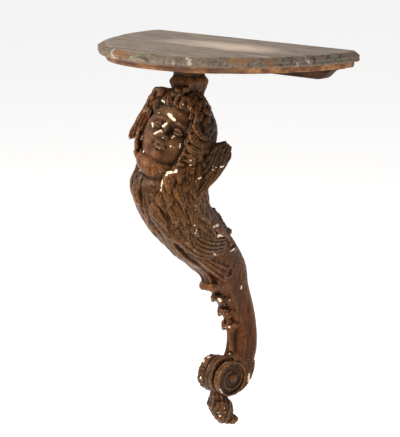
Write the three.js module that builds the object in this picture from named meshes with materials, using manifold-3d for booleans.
// A carved wooden wall console: a half-round moulded shelf board, a shaped batten under its back edge,
// and a winged child's head and body on an S-shaped scroll that carries the board from the wall.
// Millimetres, +Z up, the wall is the plane y = 0 and the room is towards -Y.
// The origin is the middle of the batten's back face, where the console is fixed to the wall.
import * as THREE from "three";
import { mergeVertices } from "three/addons/utils/BufferGeometryUtils.js";
import Module from "manifold-3d";

const wasm = await Module();
wasm.setup();

// Driving dimensions of the board and its batten
const SHELF_WIDTH = 520;
const SHELF_DEPTH = 290;
const RIM_THICKNESS = 17;
const BAND_THICKNESS = 11;
const BAND_INSET = 12;
const RIM_ROUND = 7;
const NOTCH_DEPTH = 4.5;
const BATTEN_HEIGHT = 27;
const BATTEN_THICKNESS = 18;
const BATTEN_LENGTH = 440;
const OGEE_LENGTH = 52;

// Driving dimensions of the carving, from the board's underside to the tip of the drop, and of its block
const CARVING_HEIGHT = 692;
const BLOCK_WAIST = 42;
const BLOCK_BAND = 52;
const BLOCK_TOP = 60;
const BLOCK_REACH = 164;
const FIT_GAP = 0.3;

const BOARD_THICKNESS = RIM_THICKNESS + BAND_THICKNESS;
const UNDERSIDE_Z = BATTEN_HEIGHT / 2 + FIT_GAP;
const TOP_Z = UNDERSIDE_Z + BOARD_THICKNESS;
const TAU = Math.PI * 2;

const point = (x, y, z) => new THREE.Vector3(x, y, z);
const mix = THREE.MathUtils.lerp;
const steps = (count, make) => Array.from({ length: count }, (_, i) => make(i));

// A closed surface over rings of points: each ring joins the next, and both ends are shut at their middle.
function skin(rings) {
  const sides = rings[0].length;
  const points = rings.flat();
  const index = [];
  for (let i = 0; i + 1 < rings.length; i++) {
    for (let j = 0; j < sides; j++) {
      const a = i * sides + j;
      const b = i * sides + ((j + 1) % sides);
      index.push(a, b, a + sides, b, b + sides, a + sides);
    }
  }
  const shut = (ring, start, flip) => {
    const middle = ring.reduce((sum, p) => sum.add(p), point(0, 0, 0)).divideScalar(sides);
    points.push(middle);
    for (let j = 0; j < sides; j++) {
      const a = start + j;
      const b = start + ((j + 1) % sides);
      index.push(...(flip ? [b, a, points.length - 1] : [a, b, points.length - 1]));
    }
  };
  shut(rings[0], 0, true);
  shut(rings.at(-1), (rings.length - 1) * sides, false);
  return new THREE.BufferGeometry().setFromPoints(points).setIndex(index);
}

// Six times the volume inside a geometry, negative where its faces point inwards.
function signedVolume(geometry) {
  const at = geometry.getAttribute("position");
  const face = geometry.index.array;
  const corner = (i) => point(0, 0, 0).fromBufferAttribute(at, face[i]);
  let sum = 0;
  for (let i = 0; i < face.length; i += 3) {
    sum += corner(i).dot(corner(i + 1).cross(corner(i + 2)));
  }
  return sum;
}

// A closed geometry as a solid for joining and cutting.
function solid(geometry) {
  const bare = geometry.clone();
  bare.deleteAttribute("normal");
  bare.deleteAttribute("uv");
  const merged = mergeVertices(bare, 1e-3);
  const triVerts = new Uint32Array(merged.index.array);
  if (signedVolume(merged) < 0) triVerts.reverse();
  const vertProperties = new Float32Array(merged.getAttribute("position").array);
  return new wasm.Manifold(new wasm.Mesh({ numProp: 3, vertProperties, triVerts }));
}

const join = (solids) => solids.reduce((all, one) => all.add(one));

// A solid with the sealed pockets filled that are left where its forms cross.
const filled = (made) => join(made.decompose().filter((shell) => shell.volume() > 0));

// A solid as a geometry.
function geometryOf(made) {
  const mesh = made.getMesh();
  return new THREE.BufferGeometry()
    .setAttribute("position", new THREE.BufferAttribute(new Float32Array(mesh.vertProperties), 3))
    .setIndex(new THREE.BufferAttribute(new Uint32Array(mesh.triVerts), 1));
}

// A box between two corners.
function boxBetween(low, high) {
  const size = high.clone().sub(low);
  const middle = low.clone().add(high).multiplyScalar(0.5);
  return new THREE.BoxGeometry(size.x, size.y, size.z).translate(middle.x, middle.y, middle.z);
}

// An ellipsoid with few faces.
function bead(centre, radii, across = 8, up = 6) {
  return new THREE.SphereGeometry(1, across, up)
    .scale(radii.x, radii.y, radii.z)
    .translate(centre.x, centre.y, centre.z);
}

// A tapering rod along a path. size(t) gives its half width and half thickness, out(t, p) the way its back faces.
function rod(path, size, out, sides = 6, rings = 7) {
  const curve = new THREE.CatmullRomCurve3(path);
  return skin(
    steps(rings, (i) => {
      const t = i / (rings - 1);
      const at = curve.getPoint(t);
      const ahead = curve.getTangent(t);
      const side = point(0, 0, 0).crossVectors(ahead, out(t, at)).normalize();
      const lift = point(0, 0, 0).crossVectors(side, ahead).normalize();
      const [width, thick] = size(t);
      return steps(sides, (j) => {
        const turn = (j / sides) * TAU;
        return at
          .clone()
          .addScaledVector(side, width * Math.cos(turn))
          .addScaledVector(lift, thick * Math.sin(turn));
      });
    }),
  );
}

// THE BOARD

// The board's edge in plan, a half ellipse with two shallow cusps a side, brought in by an inset.
const NOTCH_ANGLES = [27, 53, 127, 153];
const NOTCH_SPREAD = 5;
const PLAN_FULLNESS = 0.93;
function planPoint(angle, inset) {
  const degrees = THREE.MathUtils.radToDeg(angle);
  const near = NOTCH_ANGLES.map((notch) => Math.exp(-Math.abs(degrees - notch) / NOTCH_SPREAD));
  const bite = NOTCH_DEPTH * Math.max(...near);
  const halfWidth = SHELF_WIDTH / 2 - inset - bite;
  const depth = SHELF_DEPTH - inset - bite;
  const full = (value) => Math.sign(value) * Math.abs(value) ** PLAN_FULLNESS;
  return new THREE.Vector2(halfWidth * full(Math.cos(angle)), -depth * full(Math.sin(angle)));
}

// The board, its edge worked as a rounded rim over a plain band that stands back and slopes in a little.
function board() {
  const count = 72;
  const rimLow = TOP_Z - RIM_THICKNESS;
  const profile = [
    [RIM_ROUND, TOP_Z],
    [RIM_ROUND * 0.35, TOP_Z - RIM_ROUND * 0.3],
    [0, TOP_Z - RIM_ROUND],
    [0, rimLow + RIM_ROUND * 0.4],
    [RIM_ROUND * 0.3, rimLow],
    [BAND_INSET, rimLow],
    [BAND_INSET * 1.15, UNDERSIDE_Z],
  ];
  return skin(
    profile.map(([inset, z]) =>
      steps(count + 1, (i) => {
        const p = planPoint((i / count) * Math.PI, inset);
        return point(p.x, p.y, z);
      }),
    ),
  );
}

// The batten: a rail on the wall with an ogee cut at each end.
function batten() {
  const end = BATTEN_LENGTH / 2;
  const low = -BATTEN_HEIGHT / 2;
  const high = BATTEN_HEIGHT / 2;
  const shape = new THREE.Shape();
  shape.moveTo(-end, high);
  shape.lineTo(end, high);
  shape.lineTo(end, high - BATTEN_HEIGHT * 0.2);
  shape.bezierCurveTo(
    end - OGEE_LENGTH * 0.55, high - BATTEN_HEIGHT * 0.2,
    end - OGEE_LENGTH * 0.45, low,
    end - OGEE_LENGTH, low,
  );
  shape.lineTo(OGEE_LENGTH - end, low);
  shape.bezierCurveTo(
    OGEE_LENGTH * 0.45 - end, low,
    OGEE_LENGTH * 0.55 - end, high - BATTEN_HEIGHT * 0.2,
    -end, high - BATTEN_HEIGHT * 0.2,
  );
  const sawn = new THREE.ExtrudeGeometry(shape, {
    depth: BATTEN_THICKNESS,
    bevelEnabled: false,
    curveSegments: 8,
  });
  return sawn.rotateX(Math.PI / 2);
}

// THE CARVING
// It is drawn hanging from the board: (x, y, h) has h mm above the board's underside, so below it h is negative.
// Its pose and proportions are those of a carving of DRAWN_HEIGHT mm, and all of them follow CARVING_HEIGHT.

const DRAWN_HEIGHT = 692;
const scale = CARVING_HEIGHT / DRAWN_HEIGHT;
const at = (x, y, h) => point(x * scale, y * scale, h * scale);
const size = (mm) => mm * scale;

// The body and its scroll, from the neck to the volute:
// height, distance from the wall, half width, half depth and squareness of the section.
const BODY_STATIONS = [
  [-152, 194, 54, 46, 2],
  [-175, 204, 64, 58, 2],
  [-210, 215, 62, 65, 2],
  [-250, 203, 55, 65, 2],
  [-300, 165, 46, 68, 2.2],
  [-344, 119, 37, 65, 2.6],
  [-384, 80, 31, 49, 3.2],
  [-424, 60, 26, 36, 4],
  [-472, 37, 23, 29, 5],
  [-515, 24, 22, 25, 5],
  [-550, 25, 23, 25, 5],
  [-574, 34, 25, 26, 5],
];
const bodyLine = new THREE.CatmullRomCurve3(BODY_STATIONS.map(([h, y]) => point(0, -y, h)));
const bodySize = new THREE.CatmullRomCurve3(
  BODY_STATIONS.map(([, , width, depth, square]) => point(width, depth, square)),
);

// A point on the body, t down its length and turned about it: 0 is the right side, a quarter turn is the front.
function onBody(t, turn, proud = 0) {
  const middle = bodyLine.getPoint(t);
  const section = bodySize.getPoint(t);
  const power = 2 / section.z;
  const along = (value) => Math.sign(value) * Math.abs(value) ** power;
  const x = (section.x + proud) * along(Math.cos(turn));
  const y = (section.y + proud) * along(Math.sin(turn));
  return at(middle.x + x, middle.y - y, middle.z);
}

// The stem, from inside the feathers down to the volute.
function stem() {
  const rings = 15;
  const sides = 12;
  return skin(
    steps(rings, (i) => steps(sides, (j) => onBody(mix(0.28, 1, i / (rings - 1)), (j / sides) * TAU))),
  );
}

// The chest is wrapped in three tiers of long feathers. Each tier stands further out as it goes down,
// and its feathers end unevenly over the next one. Under the chin a V of bare skin shows.
const CHEST_FEATHERS = 15;
const CHEST_TIERS = [
  { from: 0, to: 0.16, slip: 0.05 },
  { from: 0.2, to: 0.3, slip: 0.045 },
  { from: 0.335, to: 0.405, slip: 0.035 },
];
const FEATHER_RELIEF = 8;
const FEATHER_SINK = 4;
const NECKLINE_END = 0.25;
const NECKLINE_SLOPE = 2;
const NECKLINE_MOST = 1.15;
function chest() {
  const sides = 2 * CHEST_FEATHERS;
  const rings = CHEST_TIERS.flatMap(({ from, to, slip }, tier) =>
    [0, 0.3, 0.65, 1].map((down) =>
      steps(sides, (j) => {
        const crest = j % 2;
        const ragged = crest * (0.6 + 0.4 * Math.sin(2.3 * j + tier));
        const t = mix(from, to, down) + slip * down ** 2 * ragged;
        const turn = ((j + 0.5 * tier) / sides) * TAU + 0.1 * Math.sin(down * Math.PI);
        const opening = Math.min(NECKLINE_MOST, NECKLINE_SLOPE * Math.max(0, 1 - t / NECKLINE_END));
        const bare = Math.abs(turn - Math.PI / 2) < opening;
        const relief = bare ? 0 : (0.25 + 0.75 * down) * FEATHER_RELIEF * (crest ? 1 : 0.2);
        return onBody(t, turn, relief - FEATHER_SINK);
      }),
    ),
  );
  const tuck = steps(sides, (j) => onBody(0.45, (j / sides) * TAU, -8));
  return skin([...rings, tuck]);
}

// The swag of cloth under the feathers: a band on each side whose folds run from the front to a knot at the back.
const SWAG_FOLDS = 4;
function swag(side) {
  const low = new THREE.CatmullRomCurve3([
    at(side * 26, -220, -298),
    at(side * 31, -188, -337),
    at(side * 33, -148, -353),
    at(side * 31, -108, -350),
    at(side * 26, -92, -338),
  ]);
  const high = new THREE.CatmullRomCurve3([
    at(side * 34, -200, -270),
    at(side * 42, -176, -294),
    at(side * 42, -148, -304),
    at(side * 36, -118, -312),
    at(side * 27, -95, -322),
  ]);
  const across = 2 * SWAG_FOLDS + 1;
  const deep = at(side * 18, 0, 0);
  const rings = steps(9, (i) => {
    const t = i / 8;
    const outer = steps(across, (k) => {
      const crest = k % 2 === 1 ? 7.5 : 0.5;
      return low.getPoint(t).lerp(high.getPoint(t), k / (across - 1)).add(at(side * crest, 0, 0));
    });
    const inner = [high.getPoint(t).sub(deep), low.getPoint(t).sub(deep)];
    return [...outer, ...inner];
  });
  return [skin(rings), bead(at(side * 24, -94, -330), at(12, 14, 13), 7, 5)];
}

// The ribbon down the front of the scroll, rolled up at its end with a ball on each side.
const RIBBON_HALF = 12;
const ROLL_RADIUS = 8;
const BALL_RADIUS = 9;
const RIBBON_THICKNESS = 9;
function ribbon() {
  const path = [
    at(0, -224, -296),
    at(0, -206, -322),
    at(0, -176, -348),
    at(0, -136, -374),
    at(0, -116, -396),
    at(0, -112, -412),
  ];
  const strip = rod(path, () => [size(RIBBON_HALF), size(RIBBON_THICKNESS)], () => point(0, -1, -0.6), 6, 9);
  const rollAt = at(0, -115, -415);
  const radius = size(ROLL_RADIUS);
  const roll = new THREE.CylinderGeometry(radius, radius, size(2 * RIBBON_HALF), 10)
    .rotateZ(Math.PI / 2)
    .translate(rollAt.x, rollAt.y, rollAt.z);
  const balls = [-1, 1].map((side) => {
    const centre = rollAt.clone().setX(side * size(RIBBON_HALF));
    return bead(centre, at(BALL_RADIUS * 0.8, BALL_RADIUS, BALL_RADIUS));
  });
  return [strip, roll, ...balls];
}

// The leaf down the front of the scroll: a keel whose height, reach from the wall and half width
// swell out in three curled teeth, one below the other, and then run down to the volute.
const LEAF_STATIONS = [
  [-424, 84, 13],
  [-436, 87, 14],
  [-444, 97, 14],
  [-451, 88, 12],
  [-458, 75, 10],
  [-467, 71, 11],
  [-474, 80, 12],
  [-480, 72, 11],
  [-487, 64, 9],
  [-496, 63, 10],
  [-503, 70, 11],
  [-509, 63, 10],
  [-530, 55, 8],
  [-552, 55, 9],
];
function frontLeaf() {
  const rings = LEAF_STATIONS.map(([h, reach, half]) => [
    at(-half, -reach + 26, h + 4),
    at(-half, -reach + 7, h + 1),
    at(-half * 0.45, -reach, h),
    at(half * 0.45, -reach, h),
    at(half, -reach + 7, h + 1),
    at(half, -reach + 26, h + 4),
  ]);
  return [skin(rings)];
}

// The volute at the foot of the scroll, a roll across the stem. Its bands are round, the left and the middle one
// with a higher crown, and between them the heel opens into the stem's back.
const VOLUTE = { y: -78, h: -594, halfWidth: 29, round: 38, flat: 0.87 };
const HEEL = { halfWidth: 24, shrink: 8, open: 42, fall: 3.1, start: 20, turn: 290 };
const BAND = { open: 0, fall: 1, start: 0, turn: 360 };
const BAND_CROWN = 1.16;
function voluteOutline(shrink, { open, fall, start, turn }, crown) {
  const shape = new THREE.Shape();
  const count = 24;
  const last = turn === 360 ? count - 1 : count;
  steps(last + 1, (i) => {
    const share = i / count;
    const angle = THREE.MathUtils.degToRad(start - turn * share);
    const radius = VOLUTE.round - shrink + open * (1 - share) ** fall;
    const y = VOLUTE.y + radius * Math.cos(angle);
    const tall = Math.sin(angle) > 0 ? crown : 1;
    const h = VOLUTE.h + radius * Math.sin(angle) * VOLUTE.flat * tall;
    if (i === 0) shape.moveTo(size(y), size(h));
    else shape.lineTo(size(y), size(h));
  });
  return shape;
}

// A slab of the volute between two distances from the middle plane.
function voluteSlab(from, to, shrink, crown = 1, form = BAND) {
  return new THREE.ExtrudeGeometry(voluteOutline(shrink, form, crown), {
    depth: size(to - from),
    bevelEnabled: false,
  })
    .applyMatrix4(new THREE.Matrix4().makeBasis(point(0, 1, 0), point(0, 0, 1), point(1, 0, 0)))
    .translate(size(from), 0, 0);
}

// The turning ridge and the eye on one face of the volute. The eye lies a little behind the middle.
const EYE_SHIFT = 5;
const COIL_END = 16;
function voluteFace(side) {
  const outer = VOLUTE.halfWidth - 2;
  const ridge = steps(15, (i) => {
    const turn = (i / 14) * TAU * 1.2;
    const radius = mix(VOLUTE.round - 6, COIL_END, i / 14);
    const y = VOLUTE.y + EYE_SHIFT * (i / 14) + radius * Math.cos(turn);
    return at(side * outer, y, VOLUTE.h - radius * VOLUTE.flat * Math.sin(turn));
  });
  const coil = rod(ridge, (t) => [size(mix(4.5, 3, t)), size(4)], () => point(side, 0, 0), 4, 15);
  return [coil, bead(at(side * outer, VOLUTE.y + EYE_SHIFT, VOLUTE.h), at(7, 11, 11), 8, 6)];
}

function volute() {
  const { halfWidth } = VOLUTE;
  return [
    voluteSlab(-HEEL.halfWidth, HEEL.halfWidth, HEEL.shrink, 1, HEEL),
    voluteSlab(-halfWidth, -halfWidth * 0.45, 1, BAND_CROWN),
    voluteSlab(-halfWidth * 0.3, halfWidth * 0.3, 0, BAND_CROWN),
    voluteSlab(halfWidth * 0.45, halfWidth, 1),
    ...voluteFace(-1),
    ...voluteFace(1),
  ];
}

// The leafy drop under the volute: a bud whose leaves show as lobes round it, with a curled tip.
const DROP_LEAVES = 7;
const DROP_STATIONS = [
  [-606, 86, 15],
  [-630, 86, 19],
  [-646, 84, 22],
  [-662, 78, 21],
  [-673, 72, 17],
  [-682, 64, 16],
  [-692, 58, 9],
];
function drop() {
  const sides = 2 * DROP_LEAVES;
  return skin(
    DROP_STATIONS.map(([h, y, radius], i) =>
      steps(sides, (j) => {
        const lobe = j % 2 === 0 ? 1 : 0.74;
        const turn = ((j + 0.4 * i) / sides) * TAU;
        return at(radius * lobe * Math.cos(turn), -y + radius * lobe * Math.sin(turn), h);
      }),
    ),
  );
}

// THE WINGS

// The near wing folds down over the shoulder, and the far one stands up behind the head.
// Each is a curved blade. Its section is fluted into feathers that end unevenly at its tip.
const WING_FEATHERS = 5;
const WING_END = 0.55;
const WINGS = [
  {
    path: [[86, -156, -137], [78, -167, -153], [69, -181, -177], [59, -197, -200], [43, -222, -240]],
    across: [-0.63, -0.42, 0.65],
    widths: [9, 24, 24, 21, 10],
    thick: 14,
  },
  {
    path: [[-58, -176, -56], [-76, -182, -84], [-87, -192, -114], [-93, -200, -141]],
    across: [0.8, 0.35, 0.25],
    widths: [12, 20, 22, 22],
    thick: 9,
  },
];
function wing({ path, across, widths, thick }) {
  const line = new THREE.CatmullRomCurve3(path.map(([x, y, h]) => at(x, y, h)));
  const spread = new THREE.CatmullRomCurve3(widths.map((w, i) => point(w, i, 0)));
  const wide = point(...across).normalize();
  const lanes = 2 * WING_FEATHERS + 1;
  return skin(
    steps(8, (i) => {
      const face = (front) => (k) => {
        const lane = (2 * k) / (lanes - 1) - 1;
        const crest = k % 2 === 1 ? 1 : 0.55;
        const t = (i / 7) * (k % 2 === 1 ? 1 : 0.94);
        const out = point(0, 0, 0).crossVectors(line.getTangent(t), wide).normalize();
        const rounded = Math.min(1, WING_END + 3 * t);
        const half = size(thick) * rounded * crest * Math.sqrt(1 - 0.75 * lane * lane);
        return line
          .getPoint(t)
          .addScaledVector(wide, lane * size(spread.getPoint(t).x))
          .addScaledVector(out, front * half);
      };
      return [...steps(lanes, face(1)), ...steps(lanes, face(-1)).reverse()];
    }),
  );
}

// The root that joins a wing's back to the shoulder.
function wingRoot(side, top) {
  const path = [at(side * 30, -172, -188), at(side * 56, -168, -176), top];
  return rod(path, (t) => [size(mix(26, 14, t)), size(mix(22, 9, t))], () => point(0, 1, 0.3), 7, 4);
}

// THE HEAD

// The head's own frame: it turns to its left, looks a little up and leans to its left shoulder.
const HEAD_CENTRE = at(0, -200, -128);
const HEAD_TURN = 22;
const HEAD_UP = 18;
const HEAD_LEAN = 17;
const headFrame = new THREE.Matrix4()
  .makeTranslation(HEAD_CENTRE)
  .multiply(new THREE.Matrix4().makeRotationZ(THREE.MathUtils.degToRad(HEAD_TURN)))
  .multiply(new THREE.Matrix4().makeRotationY(THREE.MathUtils.degToRad(HEAD_LEAN)))
  .multiply(new THREE.Matrix4().makeRotationX(THREE.MathUtils.degToRad(-HEAD_UP)));
const inHead = (x, y, z) => at(x, y, z).applyMatrix4(headFrame);

// Soft bumps and hollows of a child's face, by the place on the head that each is centred on:
// x, z, spread across, spread up, and how far it stands forward.
const FACE = [
  [0, -12, 5, 13, 4],
  [0, -20, 7, 5, 9],
  [-21, -26, 14, 14, 7],
  [21, -26, 14, 14, 7],
  [0, -36, 11, 6, 5],
  [0, -38, 8, 1.8, -3],
  [0, -54, 11, 8, 7],
  [-17, -5, 9, 6, -6],
  [17, -5, 9, 6, -6],
  [-17, -5, 5.5, 3.5, 4],
  [17, -5, 5.5, 3.5, 4],
  [-15, 8, 12, 4, 2.5],
  [15, 8, 12, 4, 2.5],
];
const SKULL = { side: 53, front: 59, up: 75 };
const FACE_FULLNESS = 2.6;
function skull() {
  const rings = 23;
  const sides = 24;
  return skin(
    steps(rings, (i) => {
      const level = mix(-0.97, 0.97, i / (rings - 1));
      const rise = (level - 0.14 * Math.sin(level * Math.PI)) * (Math.PI / 2);
      return steps(sides, (j) => {
        const even = (j / sides) * TAU;
        const turn = even + 0.5 * Math.cos(even);
        const jaw = rise < 0 ? 1 - 0.08 * Math.sin(-rise) : 1;
        const x = SKULL.side * Math.cos(rise) * Math.cos(turn) * jaw;
        const z = SKULL.up * Math.sin(rise);
        let y = -SKULL.front * Math.cos(rise) * Math.sin(turn);
        if (y < 0) {
          const upright = (1 - Math.abs(Math.sin(rise)) ** FACE_FULLNESS) ** (1 / FACE_FULLNESS);
          y *= upright / Math.cos(rise);
          const forward = Math.min(1, -y / (0.5 * SKULL.front));
          const lifts = FACE.map(([fx, fz, sx, sz, lift]) =>
            lift * Math.exp(-(((x - fx) / sx) ** 2) - ((z - fz) / sz) ** 2));
          y -= forward * lifts.reduce((sum, value) => sum + value, 0);
        }
        return inHead(x, y, z);
      });
    }),
  );
}

// A lock of hair: it starts at (turn, rise) in degrees on the head, falls by drop and swings round, and curls.
function lock(turn, rise, swing, drop, width, lift) {
  const path = steps(5, (i) => {
    const t = i / 4;
    const a = THREE.MathUtils.degToRad(turn + swing * t + 10 * Math.sin(t * Math.PI * 1.5));
    const b = THREE.MathUtils.degToRad(rise - drop * t);
    const stand = 1 + (lift * Math.sin(Math.PI * (0.25 + 0.6 * t))) / SKULL.up;
    return inHead(
      SKULL.side * stand * Math.cos(b) * Math.cos(a),
      -SKULL.front * stand * Math.cos(b) * Math.sin(a),
      SKULL.up * stand * Math.sin(b),
    );
  });
  const away = (_, p) => p.clone().sub(HEAD_CENTRE).normalize();
  const taper = (t) => size(width * mix(1, 0.45, t));
  return rod(path, (t) => [taper(t), taper(t) * 0.87], away, 5, 5);
}

// The mass of the hair over the crown, the back and the sides: a cap whose flutes turn round the head.
// In front of the ears and below the brow it sinks under the face.
const HAIR_WAVES = 11;
const FACE_MIDDLE = 94;
const FACE_HALF = 52;
const HAIRLINE = 34;
function hairCap() {
  const sides = 2 * HAIR_WAVES;
  const rings = 9;
  return skin(
    steps(rings, (i) => {
      const rise = mix(88, -46, i / (rings - 1));
      return steps(sides, (j) => {
        const around = THREE.MathUtils.euclideanModulo((j / sides) * 360 + (88 - rise) * 0.22, 360);
        const a = THREE.MathUtils.degToRad(around);
        const b = THREE.MathUtils.degToRad(rise);
        const faceward = Math.abs(around - FACE_MIDDLE) < FACE_HALF && rise < HAIRLINE;
        const fuller = 0.09 * Math.max(0, Math.cos(a)) * Math.max(0, Math.cos(2 * b));
        const full = 1.1 + fuller + 0.04 * Math.cos(b) + (j % 2 ? 0.09 : 0) + 0.03 * (i % 2);
        const reach = faceward ? 0.8 : full;
        return inHead(
          SKULL.side * reach * Math.cos(b) * Math.cos(a),
          -SKULL.front * reach * Math.cos(b) * Math.sin(a),
          SKULL.up * reach * Math.sin(b),
        );
      });
    }),
  );
}

// Separate curls stand off the cap over the brow and behind the cheeks, fullest on the left of the head.
function curls() {
  const brow = steps(5, (k) => lock(46 + k * 22, 66, (k - 2) * 6, 26, 14, 6 + 2 * k));
  const right = [[44, 26], [24, 26], [-4, 5], [-34, 6]].map(([rise, lift]) => lock(166, rise, 8, 28, 13, lift));
  const left = [16, -6, -26].map((rise) => lock(10, rise, -12, 30, 14, 12));
  return [...brow, ...right, ...left];
}

function neck() {
  const path = [at(0, -188, -176), at(4, -196, -150), inHead(0, 4, -30)];
  return rod(path, (t) => [size(mix(36, 30, t)), size(mix(34, 30, t))], () => point(0, -1, 0), 10, 4);
}

// The square block on the crown that carries the board: a cove under the board, a band, and a taper into the hair.
function block() {
  const square = (half, z) =>
    [[1, 1], [-1, 1], [-1, -1], [1, -1]].map(([i, j]) => point(i * half, -BLOCK_REACH + j * half, z));
  const coveDepth = 21;
  const cove = steps(6, (i) => {
    const turn = (i / 5) * (Math.PI / 2);
    const half = mix(BLOCK_TOP, BLOCK_WAIST, Math.sin(turn)) / 2;
    return square(half, -FIT_GAP - coveDepth * (1 - Math.cos(turn)));
  });
  const below = [
    square(BLOCK_BAND / 2, -coveDepth - 9),
    square(BLOCK_BAND / 2, -coveDepth - 14),
    square(BLOCK_WAIST * 0.4, -coveDepth - 46),
    square(BLOCK_WAIST * 0.34, -coveDepth - 75),
  ];
  return skin([...cove, ...below]);
}

// The whole carving is one piece of wood, cut flat where it meets the wall.
function carving() {
  const pieces = [
    stem(),
    chest(),
    ...swag(1),
    ...swag(-1),
    ...ribbon(),
    ...frontLeaf(),
    ...volute(),
    drop(),
    ...WINGS.map(wing),
    wingRoot(1, at(74, -160, -160)),
    wingRoot(-1, at(-82, -186, -112)),
    neck(),
    skull(),
    hairCap(),
    ...curls(),
    block(),
  ];
  const far = CARVING_HEIGHT * 2;
  const wall = solid(boxBetween(point(-far, 0, -far), point(far, far, far)));
  return geometryOf(filled(join(pieces.map(solid)).subtract(wall)));
}

const paintedBoard = new THREE.MeshStandardMaterial({ color: "#8d8279", roughness: 0.6, metalness: 0 });
const battenWood = new THREE.MeshStandardMaterial({ color: "#5a3a26", roughness: 0.7, metalness: 0 });
const carvedWood = new THREE.MeshStandardMaterial({ color: "#5b3523", roughness: 0.5, metalness: 0 });

function piece(name, geometry, material) {
  const mesh = new THREE.Mesh(geometry, material);
  mesh.name = name;
  return mesh;
}

const figure = piece("carved_angel_scroll", carving(), carvedWood);
figure.position.z = UNDERSIDE_Z;

const root = new THREE.Group();
root.add(piece("shelf_board", board(), paintedBoard), piece("wall_batten", batten(), battenWood), figure);

export default root;
